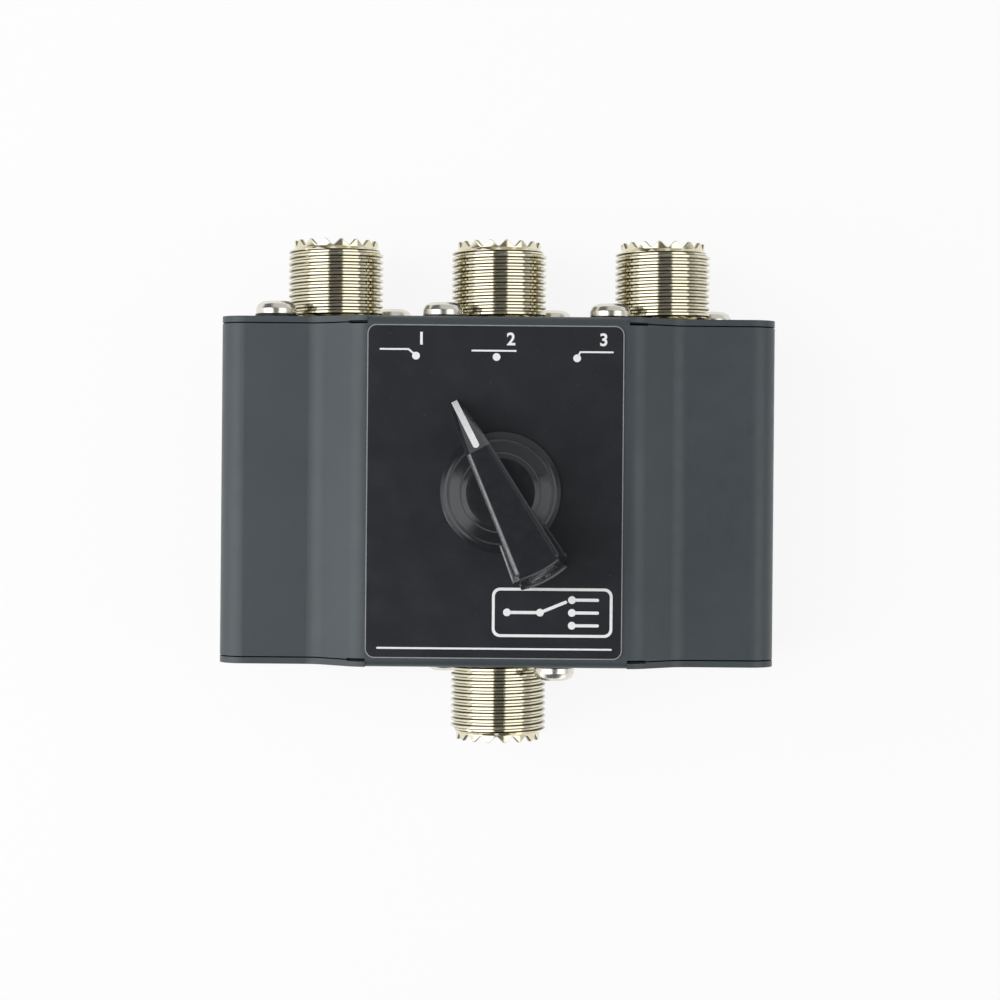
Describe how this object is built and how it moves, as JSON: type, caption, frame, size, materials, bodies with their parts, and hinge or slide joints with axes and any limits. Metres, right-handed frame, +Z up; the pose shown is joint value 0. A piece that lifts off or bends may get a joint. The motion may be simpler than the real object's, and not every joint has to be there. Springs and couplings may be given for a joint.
{
  "type": "coaxial antenna switch",
  "caption": "Folded metal box with threaded coaxial jacks on two ends and a pointer knob that turns a rotary switch, joining one feed to the chosen antenna.",
  "frame": {"origin": "middle of the back plate's outer face, which is the middle of the bounding box's underside", "axes": "+Z up out of the front and along the knob's axis, +Y towards the antenna jacks, +X to the right seen from the front"},
  "size_m": [0.0904, 0.0832, 0.0505],
  "materials": {
    "case_paint": "smooth satin grey enamel",
    "dark_screws": "blackened steel",
    "dark_washers": "blackened",
    "insulator_plastic": "dark moulding",
    "knob_plastic": "moulded, semi-gloss",
    "label_film": "glossy black film with white print",
    "nickel_plate": "bright nickel plating on brass",
    "nickel_screws": "bright plating",
    "phenolic": "brown laminate",
    "rotor_plastic": "cream moulding",
    "silvered_brass": "silver plated",
    "spring_steel": "bright spring steel",
    "tinned_wire": "tinned copper",
    "turned_brass": "turned",
    "white_fill": "paint-filled line",
    "zinc_steel": "zinc-plated steel"
  },
  "bodies": {
    "housing": {"bushing_nut": "zinc_steel", "bushing_washer": "zinc_steel", "clinch_nuts": "zinc_steel", "common_terminal": "silvered_brass", "detent_spring": "spring_steel", "front_case": "case_paint", "front_label": "label_film", "jack_1_contact": "silvered_brass", "jack_1_insulator": "insulator_plastic", "jack_1_shell": "nickel_plate", "jack_2_contact": "silvered_brass", "jack_2_insulator": "insulator_plastic", "jack_2_shell": "nickel_plate", "jack_3_contact": "silvered_brass", "jack_3_insulator": "insulator_plastic", "jack_3_shell": "nickel_plate", "jack_input_contact": "silvered_brass", "jack_input_insulator": "insulator_plastic", "jack_input_shell": "nickel_plate", "jack_screw_nuts": "zinc_steel", "jack_screw_washers": "dark_washers", "jack_screws": "nickel_screws", "rear_cover": "case_paint", "rear_cover_screws": "dark_screws", "spacer_tubes": "turned_brass", "stop_pins": "zinc_steel", "switch_bushing": "turned_brass", "switch_plate": "zinc_steel", "switch_wafer": "phenolic", "terminal_1": "silvered_brass", "terminal_2": "silvered_brass", "terminal_3": "silvered_brass", "terminal_rivets": "turned_brass", "tie_bolts": "zinc_steel", "wire_1": "tinned_wire", "wire_2": "tinned_wire", "wire_3": "tinned_wire", "wire_input": "tinned_wire"},
    "rotor": {"knob": "knob_plastic", "knob_pointer_line": "white_fill", "knob_set_screw": "dark_screws", "knob_insert": "turned_brass", "switch_shaft": "turned_brass", "shaft_clip": "spring_steel", "detent_wheel": "zinc_steel", "wafer_rotor": "rotor_plastic", "contact_blade": "silvered_brass"}
  },
  "joints": [
    {"name": "selector_turn", "type": "hinge", "parent": "housing", "child": "rotor", "pos_m": [0.0005, 0, 0.034], "axis": [0, 0, -1], "range_deg": [0, 60], "deforming": ["detent_spring"]}
  ]
}
